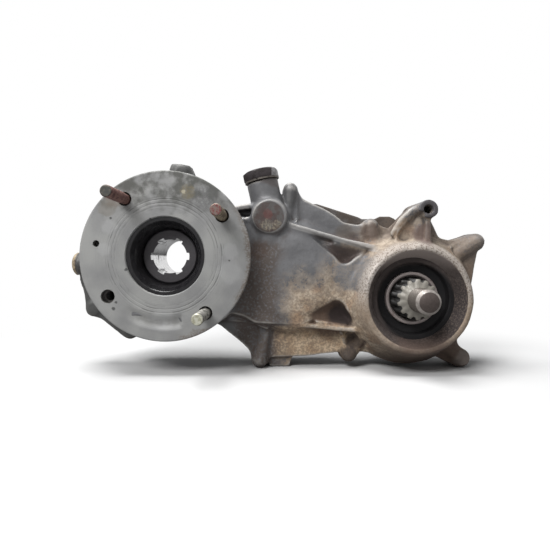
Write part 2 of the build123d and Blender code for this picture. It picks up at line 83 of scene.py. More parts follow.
class Shader:
    """A material's node tree with short names for the nodes that the finishes share."""

    def __init__(self, name):
        self.material = bpy.data.materials.new(name)
        self.material.use_nodes = True
        self.tree = self.material.node_tree
        self.tree.nodes.clear()
        self.out = self.tree.nodes.new("ShaderNodeOutputMaterial")
        self.surface = self.tree.nodes.new("ShaderNodeBsdfPrincipled")
        self.tree.links.new(self.surface.outputs[0], self.out.inputs[0])
        coordinates = self.tree.nodes.new("ShaderNodeTexCoord")
        scaled = self.tree.nodes.new("ShaderNodeVectorMath")
        scaled.operation = "SCALE"
        scaled.inputs["Scale"].default_value = 1 / MM
        self.tree.links.new(coordinates.outputs["Object"], scaled.inputs[0])
        self.mm = scaled.outputs[0]
        self.x, self.y, self.z = self.split(self.mm)

    def split(self, vector):
        node = self.tree.nodes.new("ShaderNodeSeparateXYZ")
        self.tree.links.new(vector, node.inputs[0])
        return node.outputs

    def put(self, socket, value):
        if isinstance(value, bpy.types.NodeSocket):
            self.tree.links.new(value, socket)
        elif isinstance(value, tuple) and len(value) == 3 and socket.type == "RGBA":
            socket.default_value = (*value, 1)
        else:
            socket.default_value = value

    def math(self, operation, a, b=0.0):
        node = self.tree.nodes.new("ShaderNodeMath")
        node.operation = operation
        self.put(node.inputs[0], a)
        self.put(node.inputs[1], b)
        return node.outputs[0]

    def add(self, a, b):
        return self.math("ADD", a, b)

    def minus(self, a, b):
        return self.math("SUBTRACT", a, b)

    def times(self, a, b):
        return self.math("MULTIPLY", a, b)

    def both(self, a, b):
        return self.math("MINIMUM", a, b)

    def either(self, a, b):
        return self.math("MAXIMUM", a, b)

    def step(self, value, low, high, to_low=0.0, to_high=1.0):
        """A smooth change from one value to another between two limits."""
        node = self.tree.nodes.new("ShaderNodeMapRange")
        node.interpolation_type = "SMOOTHSTEP"
        self.put(node.inputs["Value"], value)
        node.inputs["From Min"].default_value = min(low, high)
        node.inputs["From Max"].default_value = max(low, high)
        rising = low < high
        node.inputs["To Min"].default_value = to_low if rising else to_high
        node.inputs["To Max"].default_value = to_high if rising else to_low
        return node.outputs["Result"]

    def moved(self, offset):
        """The place in mm, moved so that two textures don't match."""
        node = self.tree.nodes.new("ShaderNodeVectorMath")
        node.operation = "ADD"
        self.put(node.inputs[0], self.mm)
        node.inputs[1].default_value = offset
        return node.outputs[0]

    def noise(self, size, detail, offset=0.0):
        """Noise from 0 to 1 whose features are about this many millimetres across."""
        node = self.tree.nodes.new("ShaderNodeTexNoise")
        node.inputs["Scale"].default_value = 1 / size
        node.inputs["Detail"].default_value = detail
        self.put(node.inputs["Vector"], self.moved((offset, 0.7 * offset, -0.3 * offset)))
        return node.outputs[0]

    def cells(self, size, offset):
        """Distance from the nearest of many scattered points."""
        node = self.tree.nodes.new("ShaderNodeTexVoronoi")
        node.inputs["Scale"].default_value = 1 / size
        self.put(node.inputs["Vector"], self.moved((offset, offset, offset)))
        return node.outputs["Distance"]

    def mix(self, share, a, b):
        node = self.tree.nodes.new("ShaderNodeMix")
        node.data_type = "RGBA"
        self.put(node.inputs["Factor"], share)
        self.put(node.inputs[6], a)
        self.put(node.inputs[7], b)
        return node.outputs[2]

    def coat(self, under, mask, strength, over):
        """One colour laid over another where the mask says, and as thick as the strength says."""
        return self.mix(self.times(mask, strength), under, over)

    def radius(self, centre):
        """Distance from a shaft line, in mm."""
        dx = self.minus(self.x, centre[0])
        dz = self.minus(self.z, centre[1])
        return self.math("SQRT", self.add(self.times(dx, dx), self.times(dz, dz)))

    def along(self, origin, direction):
        """Distance from a point in X and Z along a direction, in mm."""
        dx = self.times(self.minus(self.x, origin[0]), direction[0])
        dz = self.times(self.minus(self.z, origin[1]), direction[1])
        return self.add(dx, dz)

    def spot(self, centre, radius, ragged, seed):
        """A soft round patch about a line along Y, with a ragged edge."""
        uneven = self.minus(self.noise(radius / 2, 3, seed), 0.5)
        distance = self.add(self.radius(centre), self.times(uneven, ragged))
        return self.step(distance, radius, 0.55 * radius)

    def attribute(self, name):
        node = self.tree.nodes.new("ShaderNodeAttribute")
        node.attribute_name = name
        return node.outputs["Fac"]

    def facing(self):
        """How far the surface looks up, from -1 to 1."""
        node = self.tree.nodes.new("ShaderNodeNewGeometry")
        return self.split(node.outputs["Normal"])[2]

    def bump(self, height, strength, depth):
        node = self.tree.nodes.new("ShaderNodeBump")
        node.inputs["Strength"].default_value = strength
        node.inputs["Distance"].default_value = depth * MM
        self.put(node.inputs["Height"], height)
        self.tree.links.new(node.outputs[0], self.surface.inputs["Normal"])

    def finish(self, colour, roughness, metallic=0.0, specular=0.5):
        self.put(self.surface.inputs["Base Color"], colour)
        self.put(self.surface.inputs["Roughness"], roughness)
        self.put(self.surface.inputs["Metallic"], metallic)
        self.put(self.surface.inputs["Specular IOR Level"], specular)
        return self.material


def tone(red, green, blue):
    """A linear colour from 8-bit values."""
    shares = [level / 255 for level in (red, green, blue)]
    return tuple(c / 12.92 if c < 0.0404 else ((c + 0.055) / 1.055) ** 2.4 for c in shares)


def grey(level):
    """A linear grey from an 8-bit one."""
    return tone(level, level, level)


def casting_material():
    """Cast aluminium under road dust, soil and old oil, with its edges rubbed bare, painted highlights on
    edges, the rim and the snout, and painted shade in corners, valleys and on what looks down.
    """
    s = Shader("cast_aluminium")
    broad = s.noise(30, 4)
    middle = s.noise(8, 4, 31)
    fine = s.noise(1.8, 3, 77)
    grain = s.noise(0.7, 2, 13)
    wander = s.minus(s.noise(16, 4, 55), 0.5)
    patchy = s.minus(middle, 0.5)
    from_output = s.radius(OUTPUT)

    def wavy(value, reach):
        """A value that wanders, so that a limit set on it isn't straight."""
        return s.add(value, s.times(wander, reach))

    colour = s.mix(s.step(broad, 0.3, 0.7), tone(92, 92, 94), tone(116, 116, 118))
    colour = s.coat(colour, s.step(fine, 0.52, 0.7), 0.3, tone(88, 87, 86))

    # road dust: tan on the lower middle, round the snout and in a band under the shelf
    low = s.step(wavy(s.z, 50), -4, -38)
    east = s.step(wavy(s.x, 30), 96, 122)
    snout = s.step(wavy(from_output, 34), 96, 60)
    band_height = s.times(s.step(s.z, -63, -67), s.step(s.z, -104, -92))
    band = s.times(band_height, s.times(s.step(s.x, 93, 100), s.step(s.x, 200, 170)))
    dusty = s.either(s.times(low, east), s.times(snout, 0.8))
    dusty = s.either(dusty, s.times(band, s.step(middle, 0.2, 0.5, 0.75, 1.0)))
    clean = s.both(s.spot((174, -16), 27, 14, 40), s.step(s.z, -36, -28))
    dusty = s.times(dusty, s.step(clean, 0, 1, 1.0, 0.25))
    dusty = s.times(dusty, s.step(s.y, 44, 58, 1.0, 0.3))
    speckle = s.step(s.add(s.times(fine, 0.6), s.times(s.noise(3.0, 3, 5), 0.6)), 0.52, 0.68)
    dust = s.mix(s.step(middle, 0.3, 0.7), tone(160, 142, 122), tone(196, 180, 160))
    dust = s.coat(dust, s.step(s.noise(18, 3, 90), 0.5, 0.66), 0.6, tone(168, 136, 108))
    under_shelf = s.times(s.step(s.z, -64, -70), s.step(s.x, 92, 102))
    bright_band = s.mix(s.step(middle, 0.3, 0.7), tone(176, 150, 122), tone(206, 184, 156))
    dust = s.mix(s.times(under_shelf, s.step(s.x, 190, 165)), dust, bright_band)
    grey_part = s.step(s.add(s.times(fine, 0.55), s.times(middle, 0.55)), 0.44, 0.6)
    covered = s.times(dusty, s.step(s.add(grey_part, dusty), 0.35, 1.0))
    colour = s.mix(covered, colour, dust)
    colour = s.coat(colour, speckle, s.times(dusty, 0.5), tone(98, 86, 78))

    # brown soil beside the input flange
    west = s.both(s.step(wavy(s.x, 34), 112, 92), s.step(wavy(s.z, 40), 24, 2))
    west = s.both(west, s.step(s.x, 52, 66))
    crumbs = s.add(s.times(s.noise(2.2, 4, 8), 0.9), s.times(broad, 0.25))
    brown = s.times(west, s.step(crumbs, 0.44, 0.62, 0.25, 1.0))
    colour = s.coat(colour, brown, 0.9, tone(92, 82, 76))

    # grime and painted shade darken the corners; bare metal and a painted highlight lighten the edges
    hollow = s.step(s.add(s.attribute("hollow"), s.times(patchy, 0.5)), 0.15, 1.0)
    colour = s.coat(colour, hollow, 0.72, tone(60, 52, 48))
    worn_and_highlit = s.step(s.add(s.attribute("crest"), s.times(patchy, 0.4)), 0.25, 0.9)
    colour = s.coat(colour, worn_and_highlit, 0.6, tone(188, 184, 178))

    # the snout's crown is pitted, painted lighter on top as painted light and brown below; its mouth is
    # brown
    ring = s.times(s.step(from_output, 43.6, 44.5), s.step(wavy(from_output, 8), 60, 50))
    crown = s.times(ring, s.step(s.y, 20, 5))
    pitted = s.mix(s.step(s.noise(1.5, 3, 66), 0.48, 0.62), tone(176, 168, 160), tone(118, 107, 100))
    lit = s.step(s.z, -60, -20)
    pitted = s.mix(s.step(lit, 0, 1, 0.8, 0.0), pitted, tone(132, 112, 92))
    colour = s.coat(colour, crown, s.step(s.z, -90, -30, 0.35, 0.85), pitted)
    # in the mouth, the upper left is rust brown made lighter as painted light, lightest at the top, and the
    # lower right is darker and speckled
    mouth = s.times(s.step(from_output, 44.4, 43.8), s.step(s.y, 16, 14))
    upper_left = s.step(s.along(OUTPUT, (-0.6, 0.8)), -30, 30)
    rust_and_painted_light = s.mix(s.step(s.noise(4, 4, 12), 0.4, 0.66), tone(112, 102, 98), tone(84, 74, 70))
    rust_and_painted_light = s.mix(s.step(s.z, -16, 0), rust_and_painted_light, tone(206, 192, 186))
    low_right = s.mix(s.step(s.noise(1.5, 4, 17), 0.46, 0.64), tone(54, 47, 46), tone(90, 80, 74))
    colour = s.mix(mouth, colour, s.mix(upper_left, low_right, rust_and_painted_light))
    boss_end = s.times(s.step(s.radius(LONG_BOSS), 10, 9.5), s.step(s.y, 10, 9))
    colour = s.mix(boss_end, colour, tone(78, 75, 77))

    # painted shade in the valleys, deeper surfaces darker in soil tones; the dished pad on the filler boss
    for centre, radius, start, coat_colour in (
        ((166, 4), 26, 23.4, tone(70, 58, 54)),
        ((150, -54), 30, 23.6, tone(84, 66, 56)),
        ((160, -57), 15, 25.0, tone(44, 36, 36)),
        ((175, -81), 12, 30.0, tone(50, 40, 36)),
        ((222, 24), 20, 21.0, tone(88, 76, 68)),
    ):
        deep = s.step(s.add(s.y, s.times(patchy, 2)), start, start + 2.4)
        shown = s.both(s.spot(centre, radius, 8, centre[0]), s.step(s.y, 42, 40))
        colour = s.coat(colour, s.times(deep, shown), 0.9, coat_colour)
    pad = s.times(s.step(s.radius(FILLER_PAD), 14.6, 13.8), s.step(s.y, 26, 25))
    pad_soil = s.mix(s.step(s.noise(5, 4, 23), 0.4, 0.6), tone(78, 74, 72), tone(68, 54, 50))
    colour = s.coat(colour, pad, 0.9, pad_soil)
    colour = s.coat(colour, s.spot((91, 38.5), 5.5, 7, 3), 0.6, tone(98, 58, 54))
    cream = s.times(s.either(s.spot((90, 28), 7, 9, 19), s.spot((99, 28.5), 6, 9, 29)), pad)
    colour = s.coat(colour, cream, s.step(fine, 0.4, 0.65, 0.1, 0.7), tone(142, 134, 116))
    colour = s.coat(colour, s.spot((83, 6), 11, 12, 33), 0.55, tone(84, 68, 60))

    # what lies back beside the snout is darker, with soil and painted shade, and the crown is dark below
    back = s.times(s.step(s.add(s.y, s.times(patchy, 6)), 22, 33), s.step(s.x, 180, 205))
    colour = s.coat(colour, back, 0.62, tone(98, 86, 77))
    low_crown = s.times(s.step(wavy(s.z, 20), -66, -84), s.step(s.x, 190, 215))
    colour = s.coat(colour, low_crown, 0.8, tone(92, 76, 68))

    # soil under the filler cap, a painted highlight along the upper wall's rim, painted shade on the left
    # end, and single spots
    tube_up = s.along(FILLER_TUBE, (math.sin(FILLER_LEAN), math.cos(FILLER_LEAN)))
    below_cap = s.times(s.step(wavy(tube_up, 6), 7, 10.5), s.step(s.radius((91, 71)), 18, 16))
    colour = s.coat(colour, below_cap, 0.6, tone(82, 72, 68))
    above_rim = s.along(RIM[0], (0.29, 1.0))
    rim_line = s.both(s.step(above_rim, -4.2, -2.6), s.step(above_rim, 3.4, 2.2))
    rim_ends = s.times(s.step(s.x, 108, 114), s.times(s.step(s.x, 196, 186), s.step(s.y, 26, 24)))
    colour = s.coat(colour, s.times(rim_line, rim_ends), 0.75, tone(158, 156, 154))
    left_back = s.times(s.step(s.x, 62, 40), s.step(s.y, 14, 18))
    colour = s.coat(colour, left_back, 0.85, tone(66, 66, 64))
    for centre, radius, share, coat_colour in (
        ((236, 20), 13, 0.75, tone(88, 70, 66)),
        ((169, -95), 12, 0.85, tone(64, 57, 55)),
        ((279, -99), 11, 0.8, tone(142, 132, 126)),
        ((189, 24), 11, 0.85, tone(84, 70, 62)),
        ((165, 24), 10, 0.6, tone(92, 86, 80)),
        ((112, 55), 12, 0.4, tone(84, 84, 84)),
    ):
        colour = s.coat(colour, s.spot(centre, radius, 7, centre[0]), share, coat_colour)

    # the rear half is darker with old oil and soil; what looks down is painted darker, as painted shade
    behind = s.step(wavy(s.y, 3), SPLIT - 0.5, SPLIT + 1)
    oil = s.add(s.times(middle, 0.6), s.times(broad, 0.6))
    oily = s.times(behind, s.step(oil, 0.38, 0.66, 0.5, 0.97))
    colour = s.mix(oily, colour, tone(78, 69, 62))
    colour = s.coat(colour, s.step(s.facing(), -0.3, -0.85), 0.5, tone(70, 60, 54))

    dirt = s.either(covered, s.either(brown, s.either(hollow, oily)))
    height = s.add(s.times(grain, 0.3), s.times(middle, 0.5))
    height = s.add(height, s.times(fine, s.step(dirt, 0, 1, 0.35, 1.0)))
    s.bump(height, 0.5, 0.5)
    return s.finish(colour, s.step(dirt, 0, 1, 0.5, 0.88), s.step(dirt, 0, 0.8, 0.22, 0.0))


def flange_material():
    """The machined face of the input flange, with turning marks, stains and soil, and painted shade in its
    holes and behind its rim.
    """
    s = Shader("machined_flange")
    radius = s.radius(INPUT)
    broad = s.noise(26, 4, 4)
    middle = s.noise(6, 4, 20)
    fine = s.noise(1.5, 3, 44)
    face = s.step(s.y, 1.6, 1.0)
    colour = s.mix(s.step(broad, 0.3, 0.7), grey(132), tone(152, 152, 150))

    # turning marks, a few of them deeper than the rest and worn away in places
    ridges = s.tree.nodes.new("ShaderNodeTexNoise")
    ridges.noise_dimensions = "1D"
    ridges.inputs["Scale"].default_value = 1.6
    ridges.inputs["Detail"].default_value = 3
    s.put(ridges.inputs["W"], radius)
    turning = ridges.outputs[0]
    colour = s.coat(colour, s.step(turning, 0.5, 0.75), 0.14, grey(112))
    for at, width, strength in ((44.6, 0.5, 0.35), (47.3, 0.45, 0.6), (50.6, 0.5, 0.65), (52.6, 0.4, 0.3)):
        line = s.step(s.math("ABSOLUTE", s.minus(radius, at)), width, width * 0.3)
        broken = s.step(s.noise(13, 3, at), 0.46, 0.6)
        colour = s.coat(colour, s.times(line, broken), strength, grey(72))

    # cleaner patches with soft outlines, and a darker one
    for centre, size in (((57, -14), 13), ((58, 4), 9), ((-49, 26), 8), ((-2, -57), 12), ((-54, 6), 7)):
        colour = s.coat(colour, s.spot(centre, size, 5, centre[0]), 0.4, grey(168))
    colour = s.coat(colour, s.spot((52, 30), 16, 14, 51), 0.3, grey(112))

    # soiled upper part, rust and stains
    upper = s.times(s.step(s.add(s.z, s.times(middle, 30)), 48, 74), s.step(s.noise(11, 5, 61), 0.34, 0.58))
    smeared = s.step(fine, 0.3, 0.6, 0.1, 0.55)
    crusted = s.step(fine, 0.3, 0.7, 0.85, 0.35)
    for mask, strength, coat_colour in (
        (upper, 0.92, tone(76, 76, 72)),
        (s.spot((36, 52), 14, 14, 71), smeared, tone(84, 84, 84)),
        (s.spot((20.5, 56.6), 8, 6, 2), crusted, tone(112, 104, 84)),
        (s.spot((16.5, 57), 2.4, 3, 9), 0.6, tone(186, 178, 156)),
        (s.spot((-45, 51), 10, 12, 7), 0.6, tone(110, 98, 88)),
        (s.spot((-52, 42), 9, 12, 29), 0.45, tone(112, 106, 96)),
    ):
        colour = s.coat(colour, mask, strength, coat_colour)
    ragged = s.add(radius, s.times(s.minus(s.noise(9, 5, 17), 0.5), 16))
    low_edge = s.both(s.step(s.x, 8, 16), s.step(s.z, -62, -66))
    edge_soil = s.times(s.step(ragged, 69, 74.5), s.either(s.step(s.x, 56, 68), low_edge))
    crumbs = s.step(s.noise(1.6, 4, 5), 0.36, 0.6, 0.15, 0.75)
    colour = s.coat(colour, edge_soil, crumbs, tone(100, 86, 74))
    for centre, size in (
        ((-43.2, -41), 1.5), ((-45.4, -46.6), 2.0), ((-13, 33), 1.3),
        ((-34.5, -12), 1.7), ((-48, 33.5), 1.5), ((57, -4), 1.0),
    ):
        colour = s.coat(colour, s.spot(centre, size, 1.8, centre[0]), 0.85, grey(58))
    pits = s.times(s.step(s.cells(2.6, 9), 0.13, 0.02), s.step(s.noise(14, 3, 83), 0.5, 0.62))
    colour = s.coat(colour, pits, 0.65, grey(80))

    # a film of soil in the oblong hollow; soil and painted shade on the walls of every hole and behind the
    # rim
    film = s.step(middle, 0.35, 0.65, 0.0, 0.4)
    colour = s.coat(colour, s.attribute("hollow"), film, tone(116, 115, 111))
    inner = s.times(s.step(s.y, 1.7, 3.0), s.step(radius, 75, 73))
    colour = s.coat(colour, inner, 0.9, tone(92, 89, 86))
    rim = s.times(s.step(s.y, 1.0, 2.4), s.step(radius, 74, 75.5))
    colour = s.coat(colour, rim, 0.55, tone(112, 106, 100))
    marks = s.times(s.times(turning, face), 0.35)
    s.bump(s.add(marks, s.add(s.times(middle, 0.4), s.times(fine, 0.3))), 0.3, 0.25)
    return s.finish(colour, s.step(broad, 0.2, 0.8, 0.45, 0.62), 0.25)


def worn_steel(name, clean, soiled, share, rough, metallic, size, seed=0.0):
    """Bare or plated metal with soil in patches."""
    s = Shader(name)
    uneven = s.add(s.times(s.noise(size, 4, seed), 0.8), s.times(s.noise(size / 5, 3, seed + 9), 0.3))
    patches = s.step(uneven, 0.72 - 0.4 * share, 0.85 - 0.3 * share)
    fine = s.noise(0.8, 3, seed + 21)
    colour = s.mix(patches, s.mix(fine, clean, tuple(0.8 * c for c in clean)), soiled)
    s.bump(s.add(s.times(fine, 0.5), patches), 0.3, 0.15)
    return s.finish(colour, s.step(patches, 0, 1, *rough), s.step(patches, 0, 1, metallic, 0.25 * metallic))


def cap_material():
    """The dark filler cap, with one facet rubbed bright."""
    s = Shader("filler_cap")
    rust = s.step(s.noise(5, 4, 3), 0.4, 0.65)
    colour = s.mix(rust, tone(56, 50, 52), tone(40, 34, 34))
    brighter_part = s.times(s.step(s.x, 94.0, 95.0), s.step(s.noise(2, 3, 5), 0.3, 0.5, 0.5, 0.9))
    colour = s.mix(brighter_part, colour, tone(128, 126, 127))
    s.bump(s.add(rust, s.noise(1.2, 3, 8)), 0.35, 0.2)
    return s.finish(colour, s.step(rust, 0, 1, 0.42, 0.62), 0.4)


def hub_material():
    """A black, oiled hub with a bright bore, and a plain gear behind it."""
    s = Shader("oiled_hub")
    inside = s.times(s.step(s.radius(INPUT), 18.6, 18.15), s.step(s.y, 21.1, 21.6))
    oil = s.noise(4, 4, 3)
    bright = s.mix(s.step(oil, 0.45, 0.7), grey(206), grey(160))
    black = s.mix(s.noise(3, 4, 8), tone(66, 64, 66), tone(84, 81, 84))
    gear = s.step(s.y, 43, 44)
    soiled = s.mix(gear, black, tone(150, 146, 138))
    s.bump(s.noise(1.2, 3, 5), 0.2, 0.12)
    metallic = s.step(s.either(inside, gear), 0, 1, 0.0, 0.96)
    roughness = s.step(inside, 0, 1, 0.42, 0.16)
    return s.finish(s.mix(inside, soiled, bright), roughness, metallic, 0.25)


def seal_material():
    """Wet black rubber at the input, dusty rubber at the output, painted lighter at its upper left."""
    s = Shader("seal_rubber")
    output_side = s.step(s.x, 120, 160)
    dust = s.step(s.noise(5, 4, 6), 0.45, 0.75)
    film = s.step(output_side, 0, 1, 0.1, 0.25)
    colour = s.coat(tone(11, 10, 12), dust, film, tone(34, 30, 32))
    colour = s.mix(output_side, s.mix(dust, tone(28, 27, 29), tone(40, 39, 41)), colour)
    # road dust and painted light reach the output seal's outer ring from the upper left, so the lower right
    # stays black, as painted shade
    shaded = s.add(s.radius((OUTPUT[0] + 3.2, OUTPUT[1] - 3.6)), s.times(s.noise(6, 3, 40), 3))
    outer = s.times(output_side, s.step(shaded, 34.5, 39.5))
    colour = s.coat(colour, outer, s.step(dust, 0, 1, 0.7, 0.95), tone(84, 75, 72))
    s.bump(s.noise(0.9, 2, 4), 0.12, 0.1)
    return s.finish(colour, s.step(output_side, 0, 1, 0.24, 0.75), 0.0, 0.35)


def shaft_material():
    """Dusty splines, bright thread crests, a painted highlight on the end's chamfer and a brown end on the
    output shaft.
    """
    s = Shader("output_shaft")
    radius = s.radius(OUTPUT)
    fine = s.noise(1.4, 4, 2)
    thread = s.step(s.y, -0.4, -1.4)
    dusty = s.mix(s.noise(4, 4, 8), tone(150, 146, 137), tone(112, 107, 100))
    dusty = s.coat(dusty, s.step(s.y, 1.4, 4.5), 0.96, tone(20, 18, 19))
    metal = s.mix(s.step(radius, 10.25, 10.9), tone(40, 36, 34), tone(96, 90, 84))
    metal = s.coat(metal, s.step(fine, 0.5, 0.7), 0.5, tone(92, 84, 79))
    colour = s.mix(thread, dusty, metal)
    # a painted highlight on the chamfer at the thread's end
    brighter_part = s.times(s.step(s.y, SHAFT_END + 3.0, SHAFT_END + 2.6), s.step(radius, 8.2, 8.7))
    colour = s.mix(brighter_part, colour, s.mix(s.noise(2.5, 4, 33), tone(178, 172, 166), tone(96, 88, 84)))
    tip = s.times(s.step(s.y, SHAFT_END + 1.0, SHAFT_END + 0.4), s.step(radius, 8.6, 8.0))
    colour = s.mix(tip, colour, s.mix(s.noise(3, 4, 14), tone(62, 54, 51), tone(92, 82, 78)))
    back = s.step(s.y, 26, 30)
    colour = s.mix(back, colour, grey(160))
    s.bump(s.add(fine, s.noise(0.6, 2, 6)), 0.3, 0.15)
    bare = s.either(s.times(thread, 0.5), back)
    return s.finish(colour, s.step(fine, 0.3, 0.7, 0.34, 0.6), s.step(bare, 0, 1, 0.12, 0.85))


def stud_material(name, body, end, body_soil, end_soil, metallic):
    """A stud whose flat end and thread have taken different dirt."""
    s = Shader(name)
    fine = s.noise(1.1, 4, len(name))
    patch = s.step(s.noise(3.4, 4, 2 * len(name)), 0.42, 0.62)
    shaft = s.mix(patch, body, body_soil)
    face = s.mix(s.step(s.noise(2.2, 3, 7 + len(name)), 0.45, 0.6), end, end_soil)
    colour = s.mix(s.step(s.y, STUD_END + 1.0, STUD_END + 0.3), shaft, face)
    s.bump(s.add(fine, patch), 0.35, 0.15)
    return s.finish(colour, s.step(fine, 0.2, 0.8, 0.35, 0.65), metallic)


# Per slot: clean and soiled tone, soiled share, roughness of both, metallic, size of the patches in mm
WORN = {
    "gasket_paper": (tone(52, 48, 46), tone(84, 74, 62), 0.5, (0.8, 0.9), 0.0, 5),
    "bolt_steel": (tone(142, 138, 128), tone(104, 84, 66), 0.55, (0.38, 0.75), 0.8, 5),
    "stud_steel": (tone(150, 144, 128), tone(96, 80, 68), 0.5, (0.35, 0.7), 0.8, 5),
    "plug_steel": (tone(60, 54, 56), tone(40, 34, 34), 0.6, (0.38, 0.6), 0.5, 7),
    "washer_aluminium": (tone(96, 90, 84), tone(60, 54, 50), 0.5, (0.5, 0.8), 0.4, 5),
    "plug_brass": (tone(164, 148, 122), tone(112, 98, 80), 0.5, (0.5, 0.75), 0.3, 5),
    "gear_steel": (tone(168, 166, 160), tone(120, 110, 92), 0.3, (0.22, 0.4), 0.95, 9),
    "race_steel": (tone(196, 196, 194), tone(150, 140, 120), 0.15, (0.12, 0.3), 1.0, 9),
    "ball_steel": (tone(214, 214, 214), tone(170, 166, 150), 0.1, (0.08, 0.2), 1.0, 9),
    "cage_brass": (tone(190, 158, 96), tone(138, 110, 66), 0.3, (0.3, 0.5), 0.9, 6),
}
FINISHES = {slot: worn_steel(slot, *finish) for slot, finish in WORN.items()}
FINISHES["case_casting"] = casting_material()
FINISHES["seal_rubber"] = seal_material()
FINISHES["hub_steel"] = hub_material()
FINISHES["shaft_steel"] = shaft_material()
FLANGE = flange_material()
SLEEVE = worn_steel("sleeve_steel", tone(158, 148, 145), tone(126, 112, 108), 0.4, (0.45, 0.65), 0.3, 8, 3)
STUD_FINISHES = [stud_material(*finish) for finish in (
    ("stud_tan", tone(138, 126, 106), tone(118, 101, 95), tone(92, 82, 70), tone(112, 60, 58), 0.3),
    ("stud_rust", tone(124, 94, 86), tone(60, 60, 57), tone(90, 60, 58), tone(78, 74, 66), 0.25),
    ("stud_zinc", tone(140, 138, 132), tone(190, 189, 174), tone(92, 90, 86), tone(158, 156, 136), 0.5),
)]

for part in frame["record"]["subparts"]:
    cad = frame["nodes"][part["node"]]
    cad.data.materials.clear()
    cad.data.materials.append(FINISHES[part["material_slot"]])


def linked(name, data):
    """A new object in the scene."""
    thing = bpy.data.objects.new(name, data)
    bpy.context.scene.collection.objects.link(thing)
    return thing


def new_piece(name, mesh, body, node):
    """A piece that rides on a body and stands for a CAD node."""
    piece = linked(name, mesh)
    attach(piece, body)
    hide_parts(node)
    return piece


def applied(piece, kind, **settings):
    """Adds one modifier to a piece and puts its result in the mesh."""
    modifier = piece.modifiers.new(kind, kind)
    for name, value in settings.items():
        setattr(modifier, name, value)
    bpy.context.view_layer.update()
    result = bpy.data.meshes.new_from_object(piece.evaluated_get(bpy.context.evaluated_depsgraph_get()))
    piece.modifiers.clear()
    piece.data = result


def welded(node):
    """A copy of a CAD node's mesh with the seams between its faces closed."""
    mesh = frame["nodes"][node].data.copy()
    work = bmesh.new()
    work.from_mesh(mesh)
    bmesh.ops.remove_doubles(work, verts=work.verts, dist=MM / 1000)
    work.to_mesh(mesh)
    work.free()
    mesh.materials.clear()
    return mesh


def shade(mesh, angle):
    """Smooth shading, but for edges sharper than an angle in degrees."""
    mesh.shade_smooth()
    mesh.set_sharp_from_angle(angle=math.radians(angle))


def points_of(mesh):
    flat = np.empty(3 * len(mesh.vertices))
    mesh.vertices.foreach_get("co", flat)
    return flat.reshape(-1, 3) / MM


def set_points(mesh, points):
    mesh.vertices.foreach_set("co", (points * MM).ravel())
    mesh.update()


def normals_of(mesh):
    flat = np.empty(3 * len(mesh.vertices))
    mesh.vertex_normals.foreach_get("vector", flat)
    return flat.reshape(-1, 3)


def edges_of(mesh):
    flat = np.empty(2 * len(mesh.edges), np.int64)
    mesh.edges.foreach_get("vertices", flat)
    return flat.reshape(-1, 2)


def smoothed(points, edges, rounds, share):
    """Laplacian smoothing, in which each point keeps its own share of movement."""
    count = len(points)
    a, b = edges[:, 0], edges[:, 1]
    degree = np.bincount(a, minlength=count) + np.bincount(b, minlength=count)
    move = 0.6 * share[:, None]
    for _ in range(rounds):
        total = np.empty_like(points)
        for k in range(3):
            total[:, k] = np.bincount(a, points[b, k], count) + np.bincount(b, points[a, k], count)
        points = points + move * (total / degree[:, None] - points)
    return points


def spread(values, edges, rounds):
    """Evens out one number per point over the surface."""
    count = len(values)
    a, b = edges[:, 0], edges[:, 1]
    degree = np.bincount(a, minlength=count) + np.bincount(b, minlength=count)
    for _ in range(rounds):
        total = np.bincount(a, values[b], count) + np.bincount(b, values[a], count)
        values = 0.5 * values + 0.5 * total / degree
    return values


def away(points, centre):
    """Distance of each point from a line along Y."""
    return np.hypot(points[:, 0] - centre[0], points[:, 2] - centre[1])


def ramp(value, low, high):
    """0 at low and 1 at high, smooth between."""
    t = np.clip((value - low) / (high - low), 0, 1)
    return t * t * (3 - 2 * t)


def rough_noise(points, size, seed):
    scaled = points / size + seed
    return np.array([noise.noise(Vector(p)) for p in scaled])


def store(mesh, name, values):
    """Keeps one number per point for the materials to read."""
    attribute = mesh.attributes.new(name, "FLOAT", "POINT")
    attribute.data.foreach_set("value", values.astype(np.float32))


def capsule(work, start, end, radius_a, radius_b):
    """A round bar of balls that overlap, in mm, for the casting's blended forms."""
    a, b = Vector(start), Vector(end)
    steps = max(1, int((b - a).length / (0.5 * min(radius_a, radius_b))))
    for i in range(steps + 1):
        t = i / steps
        radius = (radius_a + (radius_b - radius_a) * t) * MM
        place = Matrix.Translation(a.lerp(b, t) * MM)
        bmesh.ops.create_icosphere(work, subdivisions=2, radius=radius, matrix=place)


def bead(work, line, radius):
    """A round bead that follows a line of points."""
    for start, end in zip(line, line[1:]):
        capsule(work, start, end, radius, radius)


def closed_cylinder(work, centre, radius, front, back):
    """A closed cylinder along Y, in mm."""
    middle = Vector((centre[0], (front + back) / 2, centre[1])) * MM
    place = Matrix.Translation(middle) @ Matrix.Rotation(math.pi / 2, 4, "X")
    bmesh.ops.create_cone(
        work, cap_ends=True, segments=48, radius1=radius * MM, radius2=radius * MM,
        depth=(back - front) * MM, matrix=place,
    )


def bar_edge(points, start, end, radius_a, radius_b):
    """Distance in X and Z from the outline of a tapering bar, below zero inside it."""
    start, end = np.array(start, float), np.array(end, float)
    line = end - start
    flat = points[:, [0, 2]] - start
    along = np.clip(flat @ line / (line @ line), 0, 1)
    off = flat - along[:, None] * line
    return np.hypot(off[:, 0], off[:, 1]) - (radius_a + (radius_b - radius_a) * along)


def hollowed(points, edge, floor, softness, filled=None):
    """Takes the skin back to a floor, with sloping walls, and brings marked points forward to it."""
    inside = 1 - ramp(edge, -softness, 0.6)
    y = points[:, 1]
    moved = y < floor
    if filled is not None:
        moved |= filled
    points[:, 1] = np.where(moved, y + inside * (floor - y), y)


